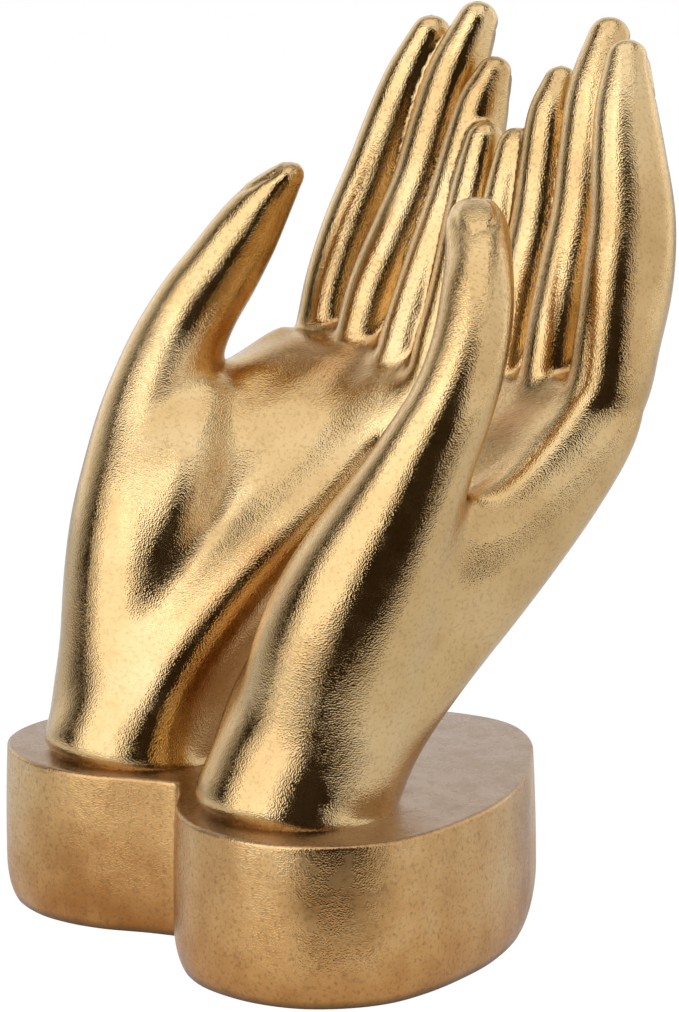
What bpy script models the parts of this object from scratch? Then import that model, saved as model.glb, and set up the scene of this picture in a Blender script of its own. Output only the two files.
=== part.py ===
"""Two open hands, side by side, that rise from a heart-shaped plinth: one cast piece.

Metres, +Z up. The hands mirror each other across X = 0, their palms face -Y, and they lean back to +Y.
The origin is under the middle of the plinth's footprint, on the surface that it stands on.
"""
import math

import bmesh
import bpy
import numpy as np
from mathutils import Vector

# The height of the whole piece, and the unit that the tables of points below are written in
SCULPTURE_HEIGHT = 0.195
UNIT = SCULPTURE_HEIGHT / 195

# Plinth
PLINTH_HEIGHT = 36 * UNIT
PLINTH_TOP_ROUNDING = 0.9 * UNIT
PLINTH_FOOT_HEIGHT = 10 * UNIT
PLINTH_FOOT_INSET = 3.5 * UNIT
PLINTH_BULGE = 0.6 * UNIT
FOOT_CUT = 1.3 * UNIT
ORIGIN_Y = 46 * UNIT

# The right half of the plinth's heart-shaped outline, from the front notch to the back
HEART_HALF = [
    (0, 9),
    (7, 4.5),
    (15, -1.5),
    (24, -5.5),
    (34, -7),
    (46, -5),
    (56, 0.5),
    (62.5, 9),
    (65.5, 19),
    (64.5, 30),
    (60.8, 42),
    (55, 54.5),
    (45, 68.5),
    (30.5, 82.5),
    (15, 94),
    (0, 98.5),
]
HEART_STEPS = 5

# How much higher each hand stands at its fingertips
RIGHT_LIFT = 0.9 * UNIT
LEFT_LIFT = 1.2 * UNIT

# Surface of the casting: the grid that joins the limbs, and how far their seams are smoothed
GRID = 1.1 * UNIT
BLEND_STEPS = 3
PALM_BLEND_STEPS = 30
PALM_BLEND_BOTTOM = 37 * UNIT
PALM_BLEND_TOP = 104 * UNIT
PALM_BLEND_FADE = 18 * UNIT
SOLID_TRIANGLES = 11600
SIDES = 32
CAP_RINGS = 4


class Station:
    """One section of a lofted limb: its middle, half width and half depth, squareness, and turn about +Z."""

    def __init__(self, x, y, z, wide, deep, square=2.0, turn=0.0):
        self.middle = Vector((x, y, z)) * UNIT
        self.wide = wide * UNIT
        self.deep = deep * UNIT
        self.square = square
        self.turn = math.radians(turn)


# Limbs that both hands share, each from root to tip, as the right hand has them
ARM = [
    Station(30.2, 16, 24, 17, 14),
    Station(30.2, 20, 38, 20.3, 20.4),
    Station(30.5, 29, 53.5, 20, 20),
    Station(31, 43, 67, 21, 16, square=2.3),
    Station(31.5, 60.3, 84, 24, 13.6, square=2.6),
    Station(32, 76.3, 102.5, 26.5, 12.4, square=2.9),
    Station(31.5, 85.6, 112.6, 26.8, 8.9, square=2.9),
    Station(31, 89.5, 121.5, 25, 6, square=2.8),
]
HEEL = [
    Station(22, 15, 36, 10, 10),
    Station(21.5, 20, 50, 12, 12),
    Station(20.5, 31.5, 65, 13.5, 11.5),
    Station(20, 45.5, 79, 14.5, 10.5),
    Station(19.5, 60.5, 93, 14.5, 8),
    Station(19, 73.5, 106, 12.5, 6.2),
]
PAD = [
    Station(8, 79, 102, 5.5, 6.5),
    Station(18, 81, 108.5, 8, 7),
    Station(30, 82, 112, 9, 7),
    Station(41, 82, 113.5, 9, 7),
    Station(49, 80.5, 113.5, 7, 6),
]
INDEX = [
    Station(47, 77, 103, 7.6, 8.5),
    Station(50, 86, 118, 8.2, 9.2),
    Station(49.8, 89.7, 130, 8.2, 9.8),
    Station(47.8, 94.0, 142, 8.3, 10.6),
    Station(44.9, 97.5, 154, 8, 10),
    Station(41.1, 99.4, 167, 7.2, 8.5),
    Station(38, 101.1, 177, 6.2, 7),
    Station(35.2, 103.7, 186.3, 4.5, 4.9),
]
MIDDLE = [
    Station(33, 77, 103, 7.6, 8.5),
    Station(34.3, 85, 117, 7.6, 9),
    Station(33.4, 89, 130, 7.8, 9.2),
    Station(31.3, 93.6, 142, 7.7, 9),
    Station(29.3, 98, 154, 7.4, 8.4),
    Station(27.3, 100.7, 167, 7.1, 7.6),
    Station(25.3, 103.7, 179, 6.5, 6.8),
    Station(23.6, 108, 189.8, 4.7, 4.8),
]
RING = [
    Station(19, 77, 102, 7.4, 8.5),
    Station(19.2, 84.5, 114, 7.3, 8.8),
    Station(18.2, 89.5, 128, 7.2, 8.8),
    Station(17, 93.6, 140, 7, 8.6),
    Station(15.6, 97.2, 152, 6.7, 7.9),
    Station(14, 99.6, 164, 6.3, 7),
    Station(12.8, 101.5, 173, 5.6, 6),
    Station(12, 103.9, 179.3, 4.1, 4.2),
]
PINKY = [
    Station(7, 75, 98, 7, 8),
    Station(6.7, 83, 111, 6.6, 8),
    Station(6.4, 87.5, 124, 6.5, 7.8),
    Station(6.3, 90.8, 136, 6.2, 7.2),
    Station(6.2, 93, 148, 5.8, 6.4),
    Station(6, 95, 158, 5.3, 5.5),
    Station(5.8, 96.6, 165.8, 4.3, 4.4),
]
SHARED_LIMBS = (ARM, HEEL, PAD, INDEX, MIDDLE, RING, PINKY)
FINGERTIP = MIDDLE[-1].middle

# Each hand's own thumb, and its web from the thumb's root to the index finger's
RIGHT_THUMB = [
    Station(31.5, 23, 27, 15, 15),
    Station(32.5, 23, 42, 19, 18.7),
    Station(34.5, 24.7, 58, 18.6, 18.2),
    Station(37.5, 26.5, 71, 18.3, 17.8),
    Station(42.5, 29.5, 85, 16.3, 16.3),
    Station(48.5, 34, 100, 12.8, 12.8),
    Station(52, 38.2, 111, 10.4, 10.7),
    Station(53.7, 42.5, 120, 9, 9.2),
    Station(53, 47, 128.5, 8.2, 8.4),
    Station(50.8, 51, 136, 7.9, 8),
    Station(47, 55, 143.5, 7.6, 7.6),
    Station(41.5, 59.3, 150.5, 7, 6.2, turn=45),
    Station(37.2, 61.9, 155, 6.6, 4.9, turn=50),
    Station(34.8, 63.3, 157.2, 5.4, 3.6, turn=50),
]
LEFT_THUMB = [
    Station(32, 23, 27, 15, 15),
    Station(33.5, 21.8, 42, 20, 19.5),
    Station(35.5, 24, 57, 19, 18.5),
    Station(38.3, 26.2, 71, 18.4, 18),
    Station(42.8, 29.4, 85, 16.4, 16.4),
    Station(48.5, 34.7, 100, 13.2, 13.2),
    Station(50.8, 40.2, 111, 11.6, 11.8),
    Station(51.8, 45.2, 120, 10.4, 10.6),
    Station(50.8, 50, 128.5, 9.4, 9.6),
    Station(48, 54.4, 136, 8.6, 8.8),
    Station(44.4, 57.8, 143.5, 7.7, 7.9),
    Station(40.4, 60.6, 150.5, 7, 6.4, turn=45),
    Station(36.8, 62.8, 155.4, 6.2, 4.6, turn=50),
    Station(34.8, 64, 157.8, 4.9, 3.4, turn=50),
]
RIGHT_WEB = [
    Station(45, 36, 84, 9, 14),
    Station(49, 48, 87, 8, 15),
    Station(50.5, 60, 93, 7.5, 12),
    Station(51, 71, 103, 7, 9),
    Station(50.5, 80, 112, 7, 8),
]
RIGHT_BOWL = [
    Station(41, 40, 82, 12, 11),
    Station(42, 54, 88, 11, 10),
    Station(42, 66, 97, 10, 8.5),
    Station(42, 76, 106, 9, 7),
]
LEFT_BOWL = [
    Station(43, 40, 87, 12, 12),
    Station(44, 50, 97, 13, 12.5),
    Station(43.5, 61, 105.5, 13, 12),
    Station(43, 73, 111.5, 12, 9.5),
]
LEFT_PALM = [
    Station(29, 35, 78, 8, 8),
    Station(33, 43.5, 84.5, 10.5, 10.5),
    Station(34, 54, 94.5, 11.5, 11.5),
    Station(34, 64, 102.5, 11.5, 11.5),
    Station(35, 74, 110, 11, 9.5),
]
LEFT_WEB = [
    Station(46, 36, 86, 9, 14),
    Station(50, 47, 97, 8, 16),
    Station(51, 56, 100, 7.5, 15),
    Station(51, 65, 106, 7, 12),
    Station(50, 75, 113, 7, 10),
]


def smooth_path(stations, per_span=4):
    """Rows between the given stations, on a Catmull-Rom curve through them."""
    rows = [[*s.middle, s.wide, s.deep, s.square, s.turn] for s in stations]
    rows = [rows[0]] + rows + [rows[-1]]
    found = []
    for i in range(1, len(rows) - 2):
        for k in range(per_span):
            found.append(curve_point(*rows[i - 1 : i + 3], k / per_span))
    found.append(rows[-2])
    return found


def curve_point(a, b, c, d, t):
    """The point at t of 0 to 1 from b to c, on the Catmull-Rom curve through a, b, c and d."""
    point = []
    for p, q, r, s in zip(a, b, c, d):
        bend = 2 * p - 5 * q + 4 * r - s
        twist = 3 * q - p - 3 * r + s
        point.append(0.5 * (2 * q + (r - p) * t + bend * t * t + twist * t**3))
    return point


def section(bm, middle, along, wide, deep, square, turn):
    """One ring of points round a limb. Its width lies along X, or along Z where the limb runs along X."""
    across = Vector((0, 0, 1)) if abs(along.x) > 0.8 else Vector((math.cos(turn), math.sin(turn), 0))
    across = (across - along * across.dot(along)).normalized()
    through = along.cross(across)
    points = []
    for i in range(SIDES):
        a = 2 * math.pi * i / SIDES
        x = math.copysign(abs(math.cos(a)) ** (2 / square), math.cos(a))
        y = math.copysign(abs(math.sin(a)) ** (2 / square), math.sin(a))
        points.append(bm.verts.new(middle + across * (wide * x) + through * (deep * y)))
    return points


def loft(bm, stations):
    """A closed limb through the stations, with a round tip at its last one."""
    path = smooth_path(stations)
    middles = [Vector(p[:3]) for p in path]
    last = len(path) - 1
    rings = []
    for i, row in enumerate(path):
        along = (middles[min(i + 1, last)] - middles[max(i - 1, 0)]).normalized()
        rings.append(section(bm, middles[i], along, *row[3:]))
    end = (middles[-1] - middles[-2]).normalized()
    wide, deep, square, turn = path[-1][3:]
    for k in range(1, CAP_RINGS + 1):
        a = 0.5 * math.pi * k / (CAP_RINGS + 0.5)
        middle = middles[-1] + end * (min(wide, deep) * math.sin(a))
        rings.append(section(bm, middle, end, wide * math.cos(a), deep * math.cos(a), square, turn))
    close_rings(bm, rings)


def close_rings(bm, rings):
    """Skins a row of rings and closes both ends."""
    count = len(rings[0])
    for a, b in zip(rings, rings[1:]):
        for i in range(count):
            j = (i + 1) % count
            bm.faces.new((a[i], a[j], b[j], b[i]))
    bm.faces.new(rings[0][::-1])
    bm.faces.new(rings[-1])


def hand(bm, limbs, side, lift):
    """All of one hand's limbs. The side is 1 for the right hand and -1 for its mirror image, the left.

    The lift raises the fingertips, and less so what lies lower.
    """
    first = len(bm.verts)
    for stations in limbs:
        loft(bm, stations)
    bm.verts.ensure_lookup_table()
    for v in bm.verts[first:]:
        v.co.x *= side
        v.co.z += lift * (v.co.z / FINGERTIP.z) ** 2


def new_object(bm, name):
    bmesh.ops.recalc_face_normals(bm, faces=bm.faces[:])
    mesh = bpy.data.meshes.new(name)
    bm.to_mesh(mesh)
    bm.free()
    obj = bpy.data.objects.new(name, mesh)
    bpy.context.scene.collection.objects.link(obj)
    return obj


def apply_modifiers(obj):
    """Replaces the object's mesh by what its modifiers make of it."""
    graph = bpy.context.evaluated_depsgraph_get()
    mesh = bpy.data.meshes.new_from_object(obj.evaluated_get(graph))
    obj.modifiers.clear()
    obj.data = mesh


def points_of(mesh):
    points = np.empty(len(mesh.vertices) * 3)
    mesh.vertices.foreach_get("co", points)
    return points.reshape(-1, 3)


def edges_of(mesh):
    ends = np.empty(len(mesh.edges) * 2, dtype=np.int64)
    mesh.edges.foreach_get("vertices", ends)
    return ends.reshape(-1, 2)


def neighbour_mean(values, ends, count):
    """Each point's mean over its neighbours, for a row of numbers per point."""
    total = np.zeros_like(values)
    for axis in range(values.shape[1]):
        total[:, axis] = np.bincount(ends[:, 0], values[ends[:, 1], axis], len(values))
        total[:, axis] += np.bincount(ends[:, 1], values[ends[:, 0], axis], len(values))
    return total / count


def palm_share(points):
    """How much each point belongs to the palm and the wrist, where the limbs flow together: 0 to 1."""
    low = np.clip((points[:, 2] - PALM_BLEND_BOTTOM) / PALM_BLEND_FADE, 0, 1)
    high = np.clip((PALM_BLEND_TOP - points[:, 2] + 0.25 * points[:, 1]) / PALM_BLEND_FADE, 0, 1)
    return low * high


def blend(mesh):
    """Smooths the seams between the limbs: a little all over, and more on the palms and the wrists."""
    points = points_of(mesh)
    ends = edges_of(mesh)
    count = np.bincount(ends.ravel(), minlength=len(points))[:, None]
    share = palm_share(points)[:, None]
    for step in range(PALM_BLEND_STEPS):
        weight = share if step >= BLEND_STEPS else 1.0
        points = points + (neighbour_mean(points, ends, count) - points) * 0.5 * weight
    mesh.vertices.foreach_set("co", points.ravel())
    mesh.update()


def plinth_outline():
    """The whole heart-shaped outline, from the front notch round the right lobe, and back by the left."""
    corners = HEART_HALF + [(-x, y) for x, y in HEART_HALF[-2:0:-1]]
    count = len(corners)
    outline = []
    for i in range(count):
        a, b, c, d = (corners[(i + k) % count] for k in (-1, 0, 1, 2))
        if i == 0:
            a = (2 * b[0] - c[0], 2 * b[1] - c[1])
        if i == count - 1:
            d = (2 * c[0] - b[0], 2 * c[1] - b[1])
        for k in range(HEART_STEPS):
            x, y = curve_point(a, b, c, d, k / HEART_STEPS)
            outline.append(Vector((x, y, 0)) * UNIT)
    return outline


def plinth(bm):
    outline = plinth_outline()
    count = len(outline)
    outward = []
    for i in range(count):
        d = (outline[(i + 1) % count] - outline[i - 1]).normalized()
        outward.append(Vector((d.y, -d.x, 0)))
    profile = []
    for k in range(7):
        a = 0.5 * math.pi * k / 6
        z = PLINTH_FOOT_HEIGHT * (1 - math.cos(a))
        profile.append((z, PLINTH_FOOT_INSET * (1 - math.sin(a))))
    for k in range(1, 4):
        t = k / 4
        z = PLINTH_FOOT_HEIGHT + t * (PLINTH_HEIGHT - PLINTH_TOP_ROUNDING - PLINTH_FOOT_HEIGHT)
        profile.append((z, PLINTH_BULGE * t * t))
    for k in range(4):
        a = 0.5 * math.pi * k / 3
        z = PLINTH_HEIGHT - PLINTH_TOP_ROUNDING * (1 - math.sin(a))
        profile.append((z, PLINTH_BULGE + PLINTH_TOP_ROUNDING * (1 - math.cos(a))))
    rings = []
    for z, inset in profile:
        level = Vector((0, 0, z))
        rings.append([bm.verts.new(p - o * inset + level) for p, o in zip(outline, outward)])
    close_rings(bm, rings)


def flatten_foot(mesh):
    """Cuts the underside flat and sets the origin under the middle of the plinth."""
    bm = bmesh.new()
    bm.from_mesh(mesh)
    cut = bmesh.ops.bisect_plane(
        bm,
        geom=bm.verts[:] + bm.edges[:] + bm.faces[:],
        plane_co=(0, 0, FOOT_CUT),
        plane_no=(0, 0, -1),
        clear_outer=True,
    )
    rim = [g for g in cut["geom_cut"] if isinstance(g, bmesh.types.BMEdge)]
    bmesh.ops.contextual_create(bm, geom=rim)
    bmesh.ops.translate(bm, verts=bm.verts[:], vec=(0, -ORIGIN_Y, -FOOT_CUT))
    for v in bm.verts:
        if abs(v.co.z) < 1e-6:
            v.co.z = 0.0
    bmesh.ops.triangulate(bm, faces=bm.faces[:])
    bmesh.ops.recalc_face_normals(bm, faces=bm.faces[:])
    bm.to_mesh(mesh)
    bm.free()


def casting():
    bm = bmesh.new()
    hand(bm, SHARED_LIMBS + (RIGHT_THUMB, RIGHT_BOWL, RIGHT_WEB), 1, RIGHT_LIFT)
    hand(bm, SHARED_LIMBS + (LEFT_THUMB, LEFT_BOWL, LEFT_PALM, LEFT_WEB), -1, LEFT_LIFT)
    plinth(bm)
    obj = new_object(bm, "hands_sculpture")
    remesh = obj.modifiers.new("Remesh", "REMESH")
    remesh.mode = "VOXEL"
    remesh.voxel_size = GRID
    apply_modifiers(obj)
    blend(obj.data)
    decimate = obj.modifiers.new("Decimate", "DECIMATE")
    decimate.ratio = SOLID_TRIANGLES / sum(len(f.vertices) - 2 for f in obj.data.polygons)
    apply_modifiers(obj)
    flatten_foot(obj.data)
    obj.data.name = "hands_sculpture"
    obj.data.materials.clear()
    obj.data.materials.append(gold_leaf())


def gold_leaf():
    material = bpy.data.materials.new("gold_leaf")
    material.use_nodes = True
    shader = material.node_tree.nodes["Principled BSDF"]
    shader.inputs["Base Color"].default_value = (0.60, 0.39, 0.13, 1)
    shader.inputs["Metallic"].default_value = 1.0
    shader.inputs["Roughness"].default_value = 0.3
    return material


def main():
    for obj in list(bpy.data.objects):
        bpy.data.objects.remove(obj)
    casting()


main()
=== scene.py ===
"""Two open hands of cast resin under gold leaf, on a heart-shaped plinth, in plain studio light."""
import math

import bmesh
import bpy
import numpy as np
from mathutils import Matrix, Vector

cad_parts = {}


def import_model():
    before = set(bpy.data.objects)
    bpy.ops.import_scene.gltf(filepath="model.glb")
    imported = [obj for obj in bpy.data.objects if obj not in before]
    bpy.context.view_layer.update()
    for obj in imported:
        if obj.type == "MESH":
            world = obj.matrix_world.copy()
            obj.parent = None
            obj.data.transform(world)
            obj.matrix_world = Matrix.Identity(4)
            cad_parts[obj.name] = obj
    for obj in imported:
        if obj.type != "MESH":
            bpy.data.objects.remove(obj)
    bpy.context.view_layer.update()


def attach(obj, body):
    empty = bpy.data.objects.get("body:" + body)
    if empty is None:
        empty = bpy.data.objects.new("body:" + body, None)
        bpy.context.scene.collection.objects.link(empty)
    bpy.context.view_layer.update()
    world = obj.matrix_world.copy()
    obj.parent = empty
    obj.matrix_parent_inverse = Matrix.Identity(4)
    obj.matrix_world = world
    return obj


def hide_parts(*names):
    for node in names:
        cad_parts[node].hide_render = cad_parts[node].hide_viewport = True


MM = 0.001

# Plinth
PLINTH_HEIGHT = 36 * MM
PLINTH_TOP_ROUNDING = 0.9 * MM
PLINTH_FOOT_HEIGHT = 10 * MM
PLINTH_FOOT_INSET = 3.5 * MM
PLINTH_BULGE = 0.6 * MM
FOOT_CUT = 1.3 * MM
ORIGIN_Y = 46 * MM

# The right half of the plinth's heart-shaped outline, in millimetres from the front notch to the back
HEART_HALF = [
    (0, 9),
    (7, 4.5),
    (15, -1.5),
    (24, -5.5),
    (34, -7),
    (46, -5),
    (56, 0.5),
    (62.5, 9),
    (65.5, 19),
    (64.5, 30),
    (60.8, 42),
    (55, 54.5),
    (45, 68.5),
    (30.5, 82.5),
    (15, 94),
    (0, 98.5),
]
HEART_STEPS = 12

# The left hand stands a little higher than the right
TIP_HEIGHT = 190 * MM
RIGHT_LIFT = 0.9 * MM
LEFT_LIFT = 1.2 * MM

# Surface of the casting
VOXEL = 0.6 * MM
BLEND_STEPS = 9
PALM_BLEND_STEPS = 230
PALM_BLEND_BOTTOM = 37 * MM
PALM_BLEND_RISE = 14 * MM
PALM_BLEND_TOP = 113 * MM
PALM_BLEND_FALL = 22 * MM
PALM_BLEND_LEAN = 0.25
FINGER_ROOTS_Y = 70 * MM
HANDS_TRIANGLES = 190000
SIDES = 40
CAP_RINGS = 5

# Nails, and the directions that they face on the right hand
FINGER_NAIL_SIDE = (0.05, 1, 0.1)
THUMB_NAIL_SIDE = (0.8, -0.56, 0.25)
NAIL_PLACE = 0.62
NAIL_WIDTH = 0.62
NAIL_LENGTH = 1.35
NAIL_SQUARE = 2.6
NAIL_RAISE = 0.12 * MM
NAIL_EDGE = 0.9
NAIL_EDGE_SHARPNESS = 26
NAIL_FOLD = 0.3 * MM
NAIL_FOLD_PLACE = 1.02
NAIL_FOLD_WIDTH = 0.13
NAIL_NEAR = 7 * MM

# Creases that get painted shade: how far round a point they are judged, and how deep a full one is
HOLLOW_REACH = 14
HOLLOW_SMOOTHING = 4
HOLLOW_DEPTH = 0.55 * MM

# Copper patches, each with its middle and its reach in millimetres. The three by the joint between the hands
# are a painted orange reflection; the others are copper patches on the leaf
COPPER_PATCHES_AND_REFLECTION = [
    ((-36, 69, 117), 9),
    ((-27, 75, 114), 7),
    ((38, 70, 114), 7),
    # Painted reflection: an orange strip along the left hand's edge where it meets the right hand
    ((-7, 40, 80), 8),
    ((-8, 31, 69), 8),
    ((-9, 22, 56), 9),
    ((-42, 50, 122), 8),
]

# Gold leaf, from its brown shade to its palest, and the grain of the resin under it
LEAF_BROWN = (0.47, 0.29, 0.12)
LEAF_GOLD = (0.66, 0.46, 0.22)
LEAF_PALE = (0.80, 0.62, 0.36)
# Copper-brown, for the copper patches and for the painted shade in the creases and the painted reflection by
# the joint
COPPER_AND_PAINTED_SHADE = (0.42, 0.19, 0.06)
# Dark specks, and the painted contact shadow round the plinth's foot
SPECK_AND_FOOT_SHADOW = (0.16, 0.09, 0.04)
LEAF_ROUGH = (0.08, 0.2)
# Painted dark reflection on the plinth's flat top
PLINTH_TOP_REFLECTION = (0.36, 0.23, 0.13)
PLINTH_TONES = [(0.35, (0.40, 0.17, 0.045)), (0.55, (0.60, 0.32, 0.11)), (0.75, (0.66, 0.42, 0.18))]
PEBBLE_SIZE = 0.36 * MM
PEBBLE_HEIGHT = 0.09 * MM
PATCH_SCALE = 34
RUB_SCALE = 160
SPECK_SCALE = 1100
DENT_SCALE = 420
DENT_DEPTH = 0.8

# Camera
CAMERA_AZIMUTH = math.radians(55)
CAMERA_ELEVATION = math.radians(11.5)
CAMERA_ROLL = math.radians(-0.5)
CAMERA_AIM = Vector((0.008, 0.001, 0.0917))
CAMERA_DISTANCE = 0.944
CAMERA_LENS = 156.5
CAMERA_SENSOR = 36

# Studio: the soft boxes are (name, azimuth, elevation, distance, width, height, power), aimed at the palms
FLOOR_WHITE = 0.91
FLOOR_GLOW = 1.09
FLOOR_MIRRORED = 0.3
FLOOR_COLOUR = (0.85, 0.85, 0.85)
FLOOR_ROUGH = 0.9
FLOOR_HALF_WIDTH = 2
FLOOR_FRONT = 0.17
FLOOR_BACK = 4.0
ROOM_DIM = (0.035, 0.024, 0.014)
BACKDROP_SIDE = (-0.82, 0.57, 0.0)
BACKDROP_FADE = (0.3, 0.8)
LAMP_AIM = Vector((0, 0, 0.1))
SOFT_BOXES = [
    ("left_box", 4, 22, 0.9, 1.05, 1.15, 6.4),
    ("side_box", -78, 24, 0.9, 0.8, 0.8, 0.6),
    ("right_box", 140, 20, 0.9, 1.8, 1.1, 5.6),
    ("top_box", 60, 80, 0.9, 1.1, 1.1, 4.7),
]


class Station:
    """One section of a lofted limb: its middle, half width and half depth, squareness, and turn about +Z."""

    def __init__(self, x, y, z, wide, deep, square=2.0, turn=0.0):
        self.middle = Vector((x, y, z)) * MM
        self.wide = wide * MM
        self.deep = deep * MM
        self.square = square
        self.turn = math.radians(turn)


# Limbs that both hands share, each from root to tip, as the right hand has them
ARM = [
    Station(30.2, 16, 24, 17, 14),
    Station(30.2, 20, 38, 20.3, 20.4),
    Station(30.5, 29, 53.5, 20, 20),
    Station(31, 43, 67, 21, 16, square=2.3),
    Station(31.5, 60.3, 84, 24, 13.6, square=2.6),
    Station(32, 76.3, 102.5, 26.5, 12.4, square=2.9),
    Station(31.5, 85.6, 112.6, 26.8, 8.9, square=2.9),
    Station(31, 89.5, 121.5, 25, 6, square=2.8),
]
HEEL = [
    Station(22, 15, 36, 10, 10),
    Station(21.5, 20, 50, 12, 12),
    Station(20.5, 31.5, 65, 13.5, 11.5),
    Station(20, 45.5, 79, 14.5, 10.5),
    Station(19.5, 60.5, 93, 14.5, 8),
    Station(19, 73.5, 106, 12.5, 6.2),
]
PAD = [
    Station(8, 79, 102, 5.5, 6.5),
    Station(18, 81, 108.5, 8, 7),
    Station(30, 82, 112, 9, 7),
    Station(41, 82, 113.5, 9, 7),
    Station(49, 80.5, 113.5, 7, 6),
]
INDEX = [
    Station(47, 77, 103, 7.6, 8.5),
    Station(50, 86, 118, 8.2, 9.2),
    Station(49.8, 89.7, 130, 8.2, 9.8),
    Station(47.8, 94.0, 142, 8.3, 10.6),
    Station(44.9, 97.5, 154, 8, 10),
    Station(41.1, 99.4, 167, 7.2, 8.5),
    Station(38, 101.1, 177, 6.2, 7),
    Station(35.2, 103.7, 186.3, 4.5, 4.9),
]
MIDDLE = [
    Station(33, 77, 103, 7.6, 8.5),
    Station(34.3, 85, 117, 7.6, 9),
    Station(33.4, 89, 130, 7.8, 9.2),
    Station(31.3, 93.6, 142, 7.7, 9),
    Station(29.3, 98, 154, 7.4, 8.4),
    Station(27.3, 100.7, 167, 7.1, 7.6),
    Station(25.3, 103.7, 179, 6.5, 6.8),
    Station(23.6, 108, 189.8, 4.7, 4.8),
]
RING = [
    Station(19, 77, 102, 7.4, 8.5),
    Station(19.2, 84.5, 114, 7.3, 8.8),
    Station(18.2, 89.5, 128, 7.2, 8.8),
    Station(17, 93.6, 140, 7, 8.6),
    Station(15.6, 97.2, 152, 6.7, 7.9),
    Station(14, 99.6, 164, 6.3, 7),
    Station(12.8, 101.5, 173, 5.6, 6),
    Station(12, 103.9, 179.3, 4.1, 4.2),
]
PINKY = [
    Station(7, 75, 98, 7, 8),
    Station(6.7, 83, 111, 6.6, 8),
    Station(6.4, 87.5, 124, 6.5, 7.8),
    Station(6.3, 90.8, 136, 6.2, 7.2),
    Station(6.2, 93, 148, 5.8, 6.4),
    Station(6, 95, 158, 5.3, 5.5),
    Station(5.8, 96.6, 165.8, 4.3, 4.4),
]
SHARED_LIMBS = (ARM, HEEL, PAD, INDEX, MIDDLE, RING, PINKY)

# The low collar where each wrist meets the plinth
COLLAR = [
    Station(30.2, 18.6, 33, 19.8, 19.6),
    Station(30.2, 19, 35, 21.2, 21),
    Station(30.2, 19.3, 36.9, 21.3, 21.1),
    Station(30.2, 19.4, 37.1, 20.4, 20.2),
]

# Each hand's own thumb, the filling of its palm, and its web from the thumb's root to the index finger's
RIGHT_THUMB = [
    Station(31.5, 23, 27, 15, 15),
    Station(32.5, 23, 42, 19, 18.7),
    Station(34.5, 24.7, 58, 18.6, 18.2),
    Station(37.5, 26.5, 71, 18.3, 17.8),
    Station(42.5, 29.5, 85, 16.3, 16.3),
    Station(48.5, 34, 100, 12.8, 12.8),
    Station(52, 38.2, 111, 10.4, 10.7),
    Station(53.7, 42.5, 120, 9, 9.2),
    Station(53, 47, 128.5, 8.2, 8.4),
    Station(50.8, 51, 136, 7.9, 8),
    Station(47, 55, 143.5, 7.6, 7.6),
    Station(41.5, 59.3, 150.5, 7, 6.2, turn=45),
    Station(37.2, 61.9, 155, 6.6, 4.9, turn=50),
    Station(34.8, 63.3, 157.2, 5.4, 3.6, turn=50),
]
LEFT_THUMB = [
    Station(32, 23, 27, 15, 15),
    Station(33.5, 21.8, 42, 20, 19.5),
    Station(35.5, 24, 57, 19, 18.5),
    Station(38.3, 26.2, 71, 18.4, 18),
    Station(42.8, 29.4, 85, 16.4, 16.4),
    Station(48.5, 34.7, 100, 13.2, 13.2),
    Station(50.8, 40.2, 111, 11.6, 11.8),
    Station(51.8, 45.2, 120, 10.4, 10.6),
    Station(50.8, 50, 128.5, 9.4, 9.6),
    Station(48, 54.4, 136, 8.6, 8.8),
    Station(44.4, 57.8, 143.5, 7.7, 7.9),
    Station(40.4, 60.6, 150.5, 7, 6.4, turn=45),
    Station(36.8, 62.8, 155.4, 6.2, 4.6, turn=50),
    Station(34.8, 64, 157.8, 4.9, 3.4, turn=50),
]
RIGHT_WEB = [
    Station(45, 36, 84, 9, 14),
    Station(49, 48, 87, 8, 15),
    Station(50.5, 60, 93, 7.5, 12),
    Station(51, 71, 103, 7, 9),
    Station(50.5, 80, 112, 7, 8),
]
RIGHT_BOWL = [
    Station(41, 40, 82, 12, 11),
    Station(42, 54, 88, 11, 10),
    Station(42, 66, 97, 10, 8.5),
    Station(42, 76, 106, 9, 7),
]
LEFT_BOWL = [
    Station(43, 40, 87, 12, 12),
    Station(44, 50, 97, 13, 12.5),
    Station(43.5, 61, 105.5, 13, 12),
    Station(43, 73, 111.5, 12, 9.5),
]
LEFT_PALM = [
    Station(29, 35, 78, 8, 8),
    Station(32.5, 42.5, 85, 11, 11),
    Station(34, 52.5, 95, 12.2, 12.2),
    Station(34, 64, 102.5, 11.5, 11.5),
    Station(35, 74, 110, 11, 9.5),
]
LEFT_FILL = [
    Station(24, 41, 80.5, 7.5, 7.5),
    Station(25.3, 48, 86.8, 9, 9),
    Station(26, 54, 91.7, 9.2, 9.2),
    Station(26, 60, 96.5, 9.2, 9.2),
    Station(25.8, 65, 100.6, 9, 9),
    Station(25.5, 70, 104.5, 8, 8),
]
LEFT_FLANK = [
    Station(27, 22, 69, 7, 7),
    Station(29.3, 26, 77, 8.7, 8.7),
    Station(31.8, 30.5, 85, 10.2, 10.2),
    Station(34.7, 35, 92.5, 10.8, 10.8),
    Station(37.8, 40, 100, 9.8, 9.8),
    Station(41, 46, 107, 7.2, 7.2),
]
LEFT_WEB = [
    Station(46, 36, 86, 9, 14),
    Station(50, 47, 97, 8, 16),
    Station(51, 56, 100, 7.5, 15),
    Station(51, 65, 106, 7, 12),
    Station(50, 75, 113, 7, 10),
]

RIGHT_LIMBS = (COLLAR, RIGHT_THUMB, RIGHT_BOWL, RIGHT_WEB)
LEFT_LIMBS = (COLLAR, LEFT_THUMB, LEFT_BOWL, LEFT_PALM, LEFT_FILL, LEFT_FLANK, LEFT_WEB)


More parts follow.
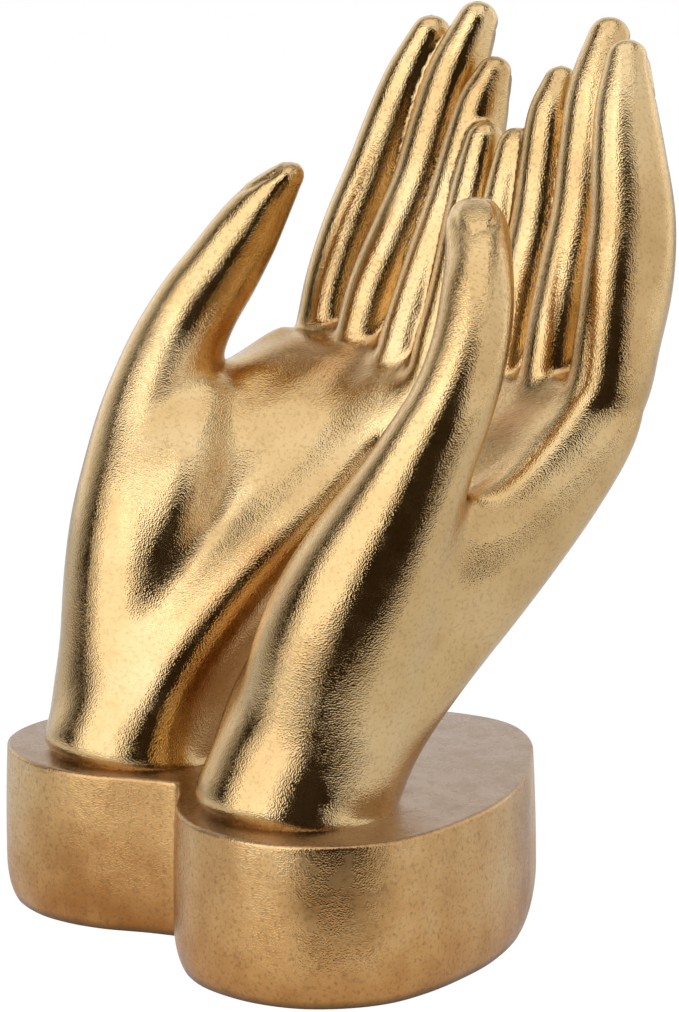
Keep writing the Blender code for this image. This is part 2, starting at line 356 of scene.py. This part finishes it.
def smooth_path(stations, per_span=5):
    """Rows between the given stations, on a Catmull-Rom curve through them."""
    rows = [[*s.middle, s.wide, s.deep, s.square, s.turn] for s in stations]
    rows = [rows[0]] + rows + [rows[-1]]
    found = []
    for i in range(1, len(rows) - 2):
        for k in range(per_span):
            found.append(curve_point(*rows[i - 1 : i + 3], k / per_span))
    found.append(rows[-2])
    return found


def curve_point(a, b, c, d, t):
    """The point at t of 0 to 1 from b to c, on the Catmull-Rom curve through a, b, c and d."""
    point = []
    for p, q, r, s in zip(a, b, c, d):
        bend = 2 * p - 5 * q + 4 * r - s
        twist = 3 * q - p - 3 * r + s
        point.append(0.5 * (2 * q + (r - p) * t + bend * t * t + twist * t**3))
    return point


def section(bm, middle, along, wide, deep, square, turn):
    """One ring of points round a limb. Its width lies along X, or along Z where the limb runs along X."""
    across = Vector((0, 0, 1)) if abs(along.x) > 0.8 else Vector((math.cos(turn), math.sin(turn), 0))
    across = (across - along * across.dot(along)).normalized()
    through = along.cross(across)
    points = []
    for i in range(SIDES):
        a = 2 * math.pi * i / SIDES
        x = math.copysign(abs(math.cos(a)) ** (2 / square), math.cos(a))
        y = math.copysign(abs(math.sin(a)) ** (2 / square), math.sin(a))
        points.append(bm.verts.new(middle + across * (wide * x) + through * (deep * y)))
    return points


def loft(bm, stations):
    """A closed limb through the stations, with a round tip at its last one."""
    path = smooth_path(stations)
    middles = [Vector(p[:3]) for p in path]
    last = len(path) - 1
    rings = []
    for i, row in enumerate(path):
        along = (middles[min(i + 1, last)] - middles[max(i - 1, 0)]).normalized()
        rings.append(section(bm, middles[i], along, *row[3:]))
    end = (middles[-1] - middles[-2]).normalized()
    wide, deep, square, turn = path[-1][3:]
    for k in range(1, CAP_RINGS + 1):
        a = 0.5 * math.pi * k / (CAP_RINGS + 0.5)
        middle = middles[-1] + end * (min(wide, deep) * math.sin(a))
        rings.append(section(bm, middle, end, wide * math.cos(a), deep * math.cos(a), square, turn))
    close_rings(bm, rings)


def close_rings(bm, rings):
    """Skins a row of rings and closes both ends."""
    count = len(rings[0])
    for a, b in zip(rings, rings[1:]):
        for i in range(count):
            j = (i + 1) % count
            bm.faces.new((a[i], a[j], b[j], b[i]))
    bm.faces.new(rings[0][::-1])
    bm.faces.new(rings[-1])


def hand(bm, limbs, side, lift):
    """All of one hand's limbs. The side is 1 for the right hand and -1 for its mirror image, the left.

    The lift raises the fingertips, and less so what lies lower.
    """
    first = len(bm.verts)
    for stations in limbs:
        loft(bm, stations)
    bm.verts.ensure_lookup_table()
    for v in bm.verts[first:]:
        v.co.x *= side
        v.co.z += lift * min(max(v.co.z / TIP_HEIGHT, 0), 1) ** 2


def new_object(bm, name):
    bmesh.ops.recalc_face_normals(bm, faces=bm.faces[:])
    mesh = bpy.data.meshes.new(name)
    bm.to_mesh(mesh)
    bm.free()
    obj = bpy.data.objects.new(name, mesh)
    bpy.context.scene.collection.objects.link(obj)
    return obj


def apply_modifiers(obj):
    """Replaces the object's mesh by what its modifiers make of it."""
    graph = bpy.context.evaluated_depsgraph_get()
    mesh = bpy.data.meshes.new_from_object(obj.evaluated_get(graph))
    obj.modifiers.clear()
    obj.data = mesh


def points_of(mesh):
    points = np.empty(len(mesh.vertices) * 3)
    mesh.vertices.foreach_get("co", points)
    return points.reshape(-1, 3)


def edges_of(mesh):
    ends = np.empty(len(mesh.edges) * 2, dtype=np.int64)
    mesh.edges.foreach_get("vertices", ends)
    return ends.reshape(-1, 2)


def normals_of(mesh):
    normals = np.empty(len(mesh.vertices) * 3)
    mesh.vertices.foreach_get("normal", normals)
    return normals.reshape(-1, 3)


def neighbour_mean(values, ends, count):
    """Each point's mean over its neighbours, for a row of numbers per point."""
    total = np.zeros_like(values)
    for axis in range(values.shape[1]):
        total[:, axis] = np.bincount(ends[:, 0], values[ends[:, 1], axis], len(values))
        total[:, axis] += np.bincount(ends[:, 1], values[ends[:, 0], axis], len(values))
    return total / count


def palm_share(points):
    """How much each point belongs to the palm and the wrist, where the limbs flow together: 0 to 1."""
    low = np.clip((points[:, 2] - PALM_BLEND_BOTTOM) / PALM_BLEND_RISE, 0, 1)
    fingers = np.maximum(points[:, 1] - FINGER_ROOTS_Y, 0)
    below = PALM_BLEND_TOP - points[:, 2] + PALM_BLEND_LEAN * points[:, 1] - fingers
    high = np.clip(below / PALM_BLEND_FALL, 0, 1)
    return low * high


def blend(mesh):
    """Smooths the seams between the limbs: a little all over, and more on the palms and the wrists."""
    points = points_of(mesh)
    ends = edges_of(mesh)
    count = np.bincount(ends.ravel(), minlength=len(points))[:, None]
    share = palm_share(points)[:, None]
    for step in range(PALM_BLEND_STEPS):
        weight = share if step >= BLEND_STEPS else 1.0
        points = points + (neighbour_mean(points, ends, count) - points) * 0.5 * weight
    mesh.vertices.foreach_set("co", points.ravel())
    mesh.update()


def nail_frames():
    """Each nail's middle, its directions along, across and out of the finger, and its half width."""
    found = []
    for side, lift, thumb in ((1, RIGHT_LIFT, RIGHT_THUMB), (-1, LEFT_LIFT, LEFT_THUMB)):
        for stations in (thumb, INDEX, MIDDLE, RING, PINKY):
            out = THUMB_NAIL_SIDE if stations is thumb else FINGER_NAIL_SIDE
            tip, below = stations[-1], stations[-2 if stations is not thumb else -3]
            along = (tip.middle - below.middle).normalized()
            out = (Vector(out) - along * along.dot(Vector(out))).normalized()
            middle = below.middle.lerp(tip.middle, NAIL_PLACE) + out * 0.5 * (tip.deep + below.deep)
            middle.z += lift * (middle.z / TIP_HEIGHT) ** 2
            flip = Vector((side, 1, 1))
            half_width = NAIL_WIDTH * below.wide
            found.append((middle * flip, along * flip, along.cross(out) * flip, out * flip, half_width))
    return found


def carve_nails(mesh):
    """Raises each nail a little and sinks a fold round its sides and root."""
    points = points_of(mesh)
    normals = normals_of(mesh)
    shift = np.zeros(len(points))
    for middle, along, across, out, half_width in nail_frames():
        away = points - np.array(middle)
        u = away @ np.array(across) / half_width
        v = away @ np.array(along) / (half_width * NAIL_LENGTH)
        height = np.abs(away @ np.array(out))
        facing = np.clip(normals @ np.array(out) * 3, 0, 1) * (height < NAIL_NEAR)
        reach = (np.abs(u) ** NAIL_SQUARE + np.abs(v) ** NAIL_SQUARE) ** (1 / NAIL_SQUARE)
        plate = 1 / (1 + np.exp((reach - NAIL_EDGE) * NAIL_EDGE_SHARPNESS))
        fold = np.exp(-(((reach - NAIL_FOLD_PLACE) / NAIL_FOLD_WIDTH) ** 2))
        shift += facing * (NAIL_RAISE * plate - NAIL_FOLD * fold)
    points += normals * shift[:, None]
    mesh.vertices.foreach_set("co", points.ravel())
    mesh.update()


def mark_crease_shade_and_copper(mesh):
    """Stores the painted shade in the creases at each point: 0 on a bulge, 1 at the bottom of a crease, with
    the copper patches added on top.
    """
    points = points_of(mesh)
    normals = normals_of(mesh)
    ends = edges_of(mesh)
    count = np.bincount(ends.ravel(), minlength=len(points))[:, None]
    far = points.copy()
    for step in range(HOLLOW_REACH):
        far = neighbour_mean(far, ends, count)
    depth = ((far - points) * normals).sum(1)[:, None]
    for step in range(HOLLOW_SMOOTHING):
        depth = neighbour_mean(depth, ends, count)
    # Painted shade, fuller the deeper a point lies in a crease
    crease_shade_and_copper = np.clip(depth[:, 0] / HOLLOW_DEPTH, 0, 1)
    # Copper patches, among them a painted reflection by the joint between the hands
    for middle, reach in COPPER_PATCHES_AND_REFLECTION:
        away = (points - np.array(middle) * MM) / (reach * MM)
        crease_shade_and_copper += np.exp(-(away**2).sum(1))
    attribute = mesh.attributes.new("crease_shade_and_copper", "FLOAT", "POINT")
    attribute.data.foreach_set("value", crease_shade_and_copper.astype(np.float32))


def hands():
    bm = bmesh.new()
    hand(bm, SHARED_LIMBS + RIGHT_LIMBS, 1, RIGHT_LIFT)
    hand(bm, SHARED_LIMBS + LEFT_LIMBS, -1, LEFT_LIFT)
    obj = new_object(bm, "hands")
    remesh = obj.modifiers.new("Remesh", "REMESH")
    remesh.mode = "VOXEL"
    remesh.voxel_size = VOXEL
    apply_modifiers(obj)
    blend(obj.data)
    decimate = obj.modifiers.new("Decimate", "DECIMATE")
    decimate.ratio = HANDS_TRIANGLES / sum(len(f.vertices) - 2 for f in obj.data.polygons)
    apply_modifiers(obj)
    obj.data.name = "hands"
    carve_nails(obj.data)
    mark_crease_shade_and_copper(obj.data)
    return obj


def plinth_outline():
    """The whole heart-shaped outline, from the front notch round the right lobe, and back by the left."""
    corners = HEART_HALF + [(-x, y) for x, y in HEART_HALF[-2:0:-1]]
    count = len(corners)
    outline = []
    for i in range(count):
        a, b, c, d = (corners[(i + k) % count] for k in (-1, 0, 1, 2))
        if i == 0:
            a = (2 * b[0] - c[0], 2 * b[1] - c[1])
        if i == count - 1:
            d = (2 * c[0] - b[0], 2 * c[1] - b[1])
        for k in range(HEART_STEPS):
            x, y = curve_point(a, b, c, d, k / HEART_STEPS)
            outline.append(Vector((x, y, 0)) * MM)
    return outline


def plinth():
    bm = bmesh.new()
    outline = plinth_outline()
    count = len(outline)
    outward = []
    for i in range(count):
        d = (outline[(i + 1) % count] - outline[i - 1]).normalized()
        outward.append(Vector((d.y, -d.x, 0)))
    profile = []
    start = math.acos(1 - FOOT_CUT / PLINTH_FOOT_HEIGHT)
    for k in range(9):
        a = start + (0.5 * math.pi - start) * k / 8
        z = PLINTH_FOOT_HEIGHT * (1 - math.cos(a))
        profile.append((z, PLINTH_FOOT_INSET * (1 - math.sin(a))))
    for k in range(1, 8):
        t = k / 8
        z = PLINTH_FOOT_HEIGHT + t * (PLINTH_HEIGHT - PLINTH_TOP_ROUNDING - PLINTH_FOOT_HEIGHT)
        profile.append((z, PLINTH_BULGE * t * t))
    for k in range(7):
        a = 0.5 * math.pi * k / 6
        z = PLINTH_HEIGHT - PLINTH_TOP_ROUNDING * (1 - math.sin(a))
        profile.append((z, PLINTH_BULGE + PLINTH_TOP_ROUNDING * (1 - math.cos(a))))
    rings = []
    for z, inset in profile:
        level = Vector((0, 0, z))
        rings.append([bm.verts.new(p - o * inset + level) for p, o in zip(outline, outward)])
    close_rings(bm, rings)
    return new_object(bm, "plinth")


def place(obj, piece_slot):
    """Moves the piece's mesh into the frame and fixes it to the model."""
    obj.data.transform(Matrix.Translation((0, -ORIGIN_Y, -FOOT_CUT)))
    for polygon in obj.data.polygons:
        polygon.use_smooth = True
    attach(obj, "root")


def node_tools(owner):
    """The node tree of a material or a world, with short ways to add a node and to wire it."""
    owner.use_nodes = True
    tree = owner.node_tree

    def add(kind, **values):
        node = tree.nodes.new(kind)
        for name, value in values.items():
            if hasattr(node, name):
                setattr(node, name, value)
            else:
                node.inputs[name.replace("_", " ")].default_value = value
        return node

    return tree, add, tree.links.new


def ramp(add, link, source, stops):
    """A colour ramp over the source, from (place, colour) stops."""
    node = add("ShaderNodeValToRGB")
    points = node.color_ramp.elements
    while len(points) < len(stops):
        points.new(0.5)
    for point, (place, colour) in zip(points, stops):
        point.position = place
        point.color = (*colour, 1)
    link(source, node.inputs["Fac"])
    return node.outputs["Color"]


def mixed(add, link, factor, a, b):
    """The mix of two colours. Each value may be a socket, or else three numbers or one for the factor."""
    node = add("ShaderNodeMix", data_type="RGBA")
    for socket, value in ((node.inputs[0], factor), (node.inputs[6], a), (node.inputs[7], b)):
        if isinstance(value, (tuple, float, int)):
            socket.default_value = (*value, 1) if isinstance(value, tuple) else value
        else:
            link(value, socket)
    return node.outputs[2]


def scaled(add, link, source, low, high, to_low, to_high):
    """The source's range from low to high, stretched to another one and clamped to it."""
    node = add("ShaderNodeMapRange")
    link(source, node.inputs["Value"])
    for name, value in (("From Min", low), ("From Max", high), ("To Min", to_low), ("To Max", to_high)):
        node.inputs[name].default_value = value
    return node.outputs["Result"]


def noise(add, link, place, scale, detail, rough=0.55):
    node = add("ShaderNodeTexNoise")
    link(place, node.inputs["Vector"])
    node.inputs["Scale"].default_value = scale
    node.inputs["Detail"].default_value = detail
    node.inputs["Roughness"].default_value = rough
    return node.outputs["Fac"]


def gold_leaf(name, worn):
    """Gold leaf laid over pebbled resin. Worn is 0 on the polished hands, and 1 on the duller plinth, which
    also gets a painted contact shadow at its foot and a painted dark reflection on its top.
    """
    material = bpy.data.materials.new(name)
    tree, add, link = node_tools(material)
    shader = tree.nodes["Principled BSDF"]
    place = add("ShaderNodeTexCoord").outputs["Object"]

    # Colour: warm gold, paler and browner in patches, with painted shade in copper-brown in the creases,
    # copper patches with a painted reflection among them, and dark specks
    patches = noise(add, link, place, PATCH_SCALE, 3, 0.6)
    tone = ramp(add, link, patches, [(0.3, LEAF_BROWN), (0.5, LEAF_GOLD), (0.72, LEAF_PALE)])
    tone = mixed(add, link, 0.55 + 0.3 * worn, LEAF_GOLD, tone)
    crease_shade_and_copper = add("ShaderNodeAttribute", attribute_name="crease_shade_and_copper").outputs["Fac"]
    rub = noise(add, link, place, RUB_SCALE, 2, 0.6)
    # Painted crease shade and copper patches, laid in copper-brown
    deep = scaled(add, link, crease_shade_and_copper, 0.25, 0.9, 0, 0.6)
    tone = mixed(add, link, deep, tone, COPPER_AND_PAINTED_SHADE)
    specks = noise(add, link, place, SPECK_SCALE, 1, 0.7)
    if worn:
        height = add("ShaderNodeSeparateXYZ")
        link(place, height.inputs["Vector"])
        up = height.outputs["Z"]
        # Plinth tones, laid fully at the bottom and less towards the top
        tone_towards_bottom = scaled(add, link, up, 0, 0.9 * PLINTH_HEIGHT, 1, 0.45)
        tone = mixed(add, link, tone_towards_bottom, tone, ramp(add, link, patches, PLINTH_TONES))
        # Painted dark reflection along the plinth's flat top
        top = PLINTH_HEIGHT - FOOT_CUT
        painted_top_reflection = scaled(add, link, up, top - 0.5 * MM, top - 0.1 * MM, 0, 1)
        tone = mixed(add, link, painted_top_reflection, tone, PLINTH_TOP_REFLECTION)
        # Painted contact shadow, darkening the plinth towards its foot
        painted_foot_shadow = scaled(add, link, up, 0.3 * MM, 2 * MM, 0.85, 0)
        tone = mixed(add, link, painted_foot_shadow, tone, SPECK_AND_FOOT_SHADOW)
    dots = scaled(add, link, specks, 0.5, 0.8, 0, 0.3 + 0.2 * worn)
    tone = mixed(add, link, dots, tone, SPECK_AND_FOOT_SHADOW)
    link(tone, shader.inputs["Base Color"])

    # Gloss: patches of burnished and of duller leaf
    gloss = scaled(add, link, rub, 0.35, 0.7, LEAF_ROUGH[0] + 0.12 * worn, LEAF_ROUGH[1] + 0.14 * worn)
    link(gloss, shader.inputs["Roughness"])
    shader.inputs["Metallic"].default_value = 1.0

    # Relief: pebbled grain under the leaf, over slow dents from the casting
    pebbles = add("ShaderNodeTexVoronoi", feature="F1")
    link(place, pebbles.inputs["Vector"])
    pebbles.inputs["Scale"].default_value = 1 / PEBBLE_SIZE
    dents = add("ShaderNodeMath", operation="MULTIPLY_ADD")
    link(noise(add, link, place, DENT_SCALE, 0), dents.inputs[0])
    dents.inputs[1].default_value = DENT_DEPTH
    link(pebbles.outputs["Distance"], dents.inputs[2])
    relief = add("ShaderNodeBump", Strength=0.5 + 0.1 * worn, Distance=PEBBLE_HEIGHT)
    link(dents.outputs[0], relief.inputs["Height"])
    link(relief.outputs["Normal"], shader.inputs["Normal"])
    return material


def background_share(add, link, to_camera, to_mirrors):
    """How white a ray finds the background: one share for the camera, one for rays off metal and glass."""
    rays = add("ShaderNodeLightPath")
    shiny = add("ShaderNodeMath", operation="MAXIMUM")
    link(rays.outputs["Is Glossy Ray"], shiny.inputs[0])
    link(rays.outputs["Is Transmission Ray"], shiny.inputs[1])
    mirrored = add("ShaderNodeMath", operation="MULTIPLY")
    link(shiny.outputs[0], mirrored.inputs[0])
    if isinstance(to_mirrors, float):
        mirrored.inputs[1].default_value = to_mirrors
    else:
        link(to_mirrors, mirrored.inputs[1])
    share = add("ShaderNodeMath", operation="MULTIPLY_ADD")
    link(rays.outputs["Is Camera Ray"], share.inputs[0])
    share.inputs[1].default_value = to_camera
    link(mirrored.outputs[0], share.inputs[2])
    return share.outputs[0]


def studio():
    """A pale floor and backdrop that show white to the camera, soft boxes all round, and a dim room."""
    scene = bpy.context.scene
    scene.view_settings.view_transform = "Standard"

    bm = bmesh.new()
    side = FLOOR_HALF_WIDTH
    corners = ((-side, -FLOOR_FRONT), (side, -FLOOR_FRONT), (side, FLOOR_BACK), (-side, FLOOR_BACK))
    bm.faces.new([bm.verts.new((x, y, 0)) for x, y in corners])
    bmesh.ops.rotate(bm, verts=bm.verts[:], matrix=Matrix.Rotation(CAMERA_AZIMUTH, 3, "Z"))
    floor = new_object(bm, "floor")
    material = bpy.data.materials.new("floor")
    tree, add, link = node_tools(material)
    paint = tree.nodes["Principled BSDF"]
    paint.inputs["Base Color"].default_value = (*FLOOR_COLOUR, 1)
    paint.inputs["Roughness"].default_value = FLOOR_ROUGH
    white = add("ShaderNodeEmission", Strength=FLOOR_GLOW)
    seen = background_share(add, link, FLOOR_WHITE, FLOOR_MIRRORED)
    mix = add("ShaderNodeMixShader")
    link(seen, mix.inputs[0])
    link(paint.outputs[0], mix.inputs[1])
    link(white.outputs[0], mix.inputs[2])
    link(mix.outputs[0], tree.nodes["Material Output"].inputs["Surface"])
    floor.data.materials.append(material)

    world = bpy.data.worlds.new("room")
    scene.world = world
    tree, add, link = node_tools(world)
    room = tree.nodes["Background"]
    facing = add("ShaderNodeVectorMath", operation="DOT_PRODUCT")
    link(add("ShaderNodeTexCoord").outputs["Generated"], facing.inputs[0])
    facing.inputs[1].default_value = BACKDROP_SIDE
    behind = scaled(add, link, facing.outputs["Value"], *BACKDROP_FADE, 0, 1)
    room.inputs["Color"].default_value = (*ROOM_DIM, 1)
    backdrop = add("ShaderNodeBackground", Strength=1.0)
    backdrop.inputs["Color"].default_value = (1, 1, 1, 1)
    mix = add("ShaderNodeMixShader")
    link(background_share(add, link, 1.0, behind), mix.inputs[0])
    link(room.outputs[0], mix.inputs[1])
    link(backdrop.outputs[0], mix.inputs[2])
    link(mix.outputs[0], tree.nodes["World Output"].inputs["Surface"])

    for name, azimuth, elevation, distance, wide, tall, power in SOFT_BOXES:
        out = toward(math.radians(azimuth), math.radians(elevation))
        lamp = bpy.data.lights.new(name, "AREA")
        lamp.shape = "RECTANGLE"
        lamp.size = wide
        lamp.size_y = tall
        lamp.energy = power
        obj = bpy.data.objects.new(name, lamp)
        obj.location = LAMP_AIM + out * distance
        obj.rotation_euler = out.to_track_quat("Z", "Y").to_euler()
        scene.collection.objects.link(obj)


def toward(azimuth, elevation):
    """The direction at these angles. Azimuth 0 is the front, and 90 degrees the right hand's side."""
    flat = math.cos(elevation)
    return Vector((math.sin(azimuth) * flat, -math.cos(azimuth) * flat, math.sin(elevation)))


def camera():
    back = toward(CAMERA_AZIMUTH, CAMERA_ELEVATION)
    right = Vector((math.cos(CAMERA_AZIMUTH), math.sin(CAMERA_AZIMUTH), 0))
    up = back.cross(right)
    data = bpy.data.cameras.new("Camera")
    data.lens = CAMERA_LENS
    data.sensor_width = CAMERA_SENSOR
    data.clip_start = 0.05
    obj = bpy.data.objects.new("Camera", data)
    turned = Matrix((right, up, back)).transposed() @ Matrix.Rotation(CAMERA_ROLL, 3, "Z")
    obj.matrix_world = Matrix.Translation(CAMERA_AIM + back * CAMERA_DISTANCE) @ turned.to_4x4()
    bpy.context.scene.collection.objects.link(obj)
    bpy.context.scene.camera = obj


def main():
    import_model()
    for piece, worn in ((hands(), 0), (plinth(), 1)):
        piece.data.materials.append(gold_leaf("gold_leaf_" + piece.name, worn))
        place(piece, "gold_leaf")
        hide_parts("hands_sculpture")
    studio()
    camera()


main()
